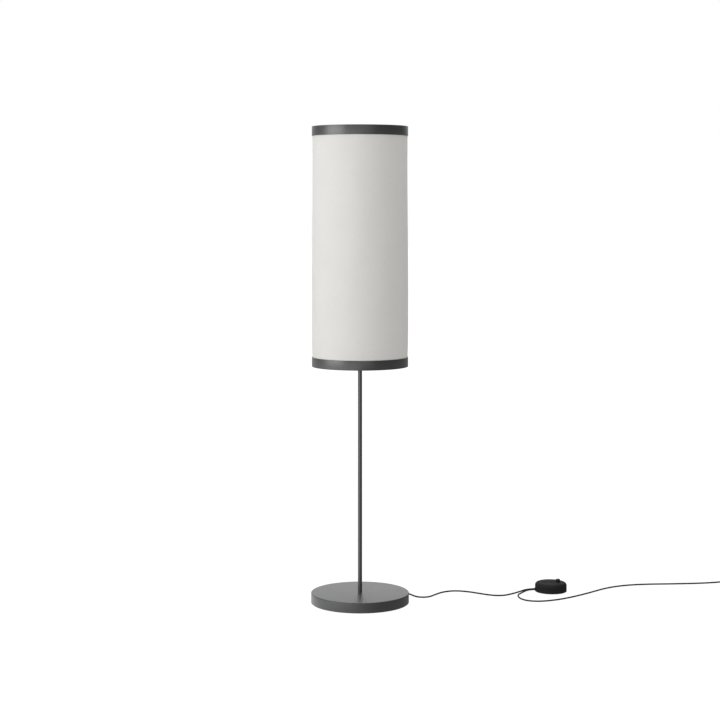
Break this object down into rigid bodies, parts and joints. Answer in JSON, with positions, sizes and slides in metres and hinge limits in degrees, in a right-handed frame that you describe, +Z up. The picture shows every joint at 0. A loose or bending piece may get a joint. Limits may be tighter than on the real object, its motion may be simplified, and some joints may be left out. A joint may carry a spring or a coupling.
{
  "type": "column floor lamp",
  "caption": "Column floor lamp: round weighted base, slim pole, tall drum shade between two bands, and a lead with a sliding foot dimmer and a plug.",
  "frame": {"origin": "on the floor, under the middle of the pole, at the centre of the base's underside", "axes": "+Z up along the pole, +X to the right towards the dimmer, +Y to the back, where the lead leaves the base"},
  "size_m": [1.2096, 0.3648, 1.238],
  "materials": {
    "painted_steel": "dark grey semi-gloss powder coat",
    "cast_iron": "rough cast",
    "zinc_steel": "bright zinc plate",
    "foam_pad": "matt foam",
    "black_flex": "satin black sheath",
    "black_plastic": "fine satin grain",
    "knob_plastic": "satin",
    "shade_cloth": "off-white woven cloth on a stiff backing",
    "white_wire": "white enamel",
    "holder_plastic": "smooth moulded",
    "ceramic": "glazed white",
    "brass": "bright",
    "bulb_metal": "nickel plate",
    "bulb_plastic": "smooth white",
    "opal_glass": "opal",
    "board_green": "lacquered board",
    "component": "moulded case",
    "pin_metal": "nickel plate"
  },
  "bodies": {
    "lamp": {"base_cover": "painted_steel", "base_weight": "cast_iron", "base_plate": "zinc_steel", "base_pad": "foam_pad", "base_screws": "zinc_steel", "base_nut": "zinc_steel", "base_washer": "zinc_steel", "cord_gland": "black_plastic", "lead_clamp": "black_plastic", "lead_clamp_screws": "zinc_steel", "pole": "painted_steel", "pole_foot_stud": "zinc_steel", "pole_head_stud": "zinc_steel", "carrier_washer": "zinc_steel", "carrier_nut": "zinc_steel", "stem": "painted_steel", "inner_lead": "black_flex", "bottom_band": "painted_steel", "top_band": "painted_steel", "top_ring": "white_wire", "shade_carrier": "white_wire", "frame_rods": "white_wire", "shade_fabric": "shade_cloth", "holder_cap": "holder_plastic", "holder_body": "holder_plastic", "holder_block": "ceramic", "holder_sleeve": "bulb_metal", "centre_contact": "brass", "bulb_tip": "brass", "bulb_cap": "bulb_metal", "bulb_collar": "bulb_plastic", "led_board": "bulb_plastic", "bulb_globe": "opal_glass", "dimmer_base": "black_plastic", "dimmer_cover": "black_plastic", "dimmer_screws": "zinc_steel", "dimmer_feet": "foam_pad", "slide_track": "zinc_steel", "dimmer_board": "board_green", "dimmer_triac": "black_plastic", "dimmer_capacitor": "component", "dimmer_terminals": "component", "dimmer_choke": "brass", "dimmer_cord_bar": "black_plastic", "dimmer_bar_screws": "zinc_steel", "dimmer_cord_sleeves": "black_flex", "cord_coil": "black_flex", "coil_tie": "black_plastic", "plug_relief": "black_flex", "plug_body": "black_plastic", "plug_pins": "pin_metal", "pin_sleeves": "black_plastic", "cord_to_dimmer": "black_flex", "cord_to_coil": "black_flex", "cord_to_plug": "black_flex"},
    "slider": {"slider_knob": "knob_plastic", "slider_lever": "zinc_steel"}
  },
  "joints": [
    {"name": "dimmer_slide", "type": "slide", "parent": "lamp", "child": "slider", "axis": [1, 0, 0], "range_m": [-0.038, 0]}
  ]
}
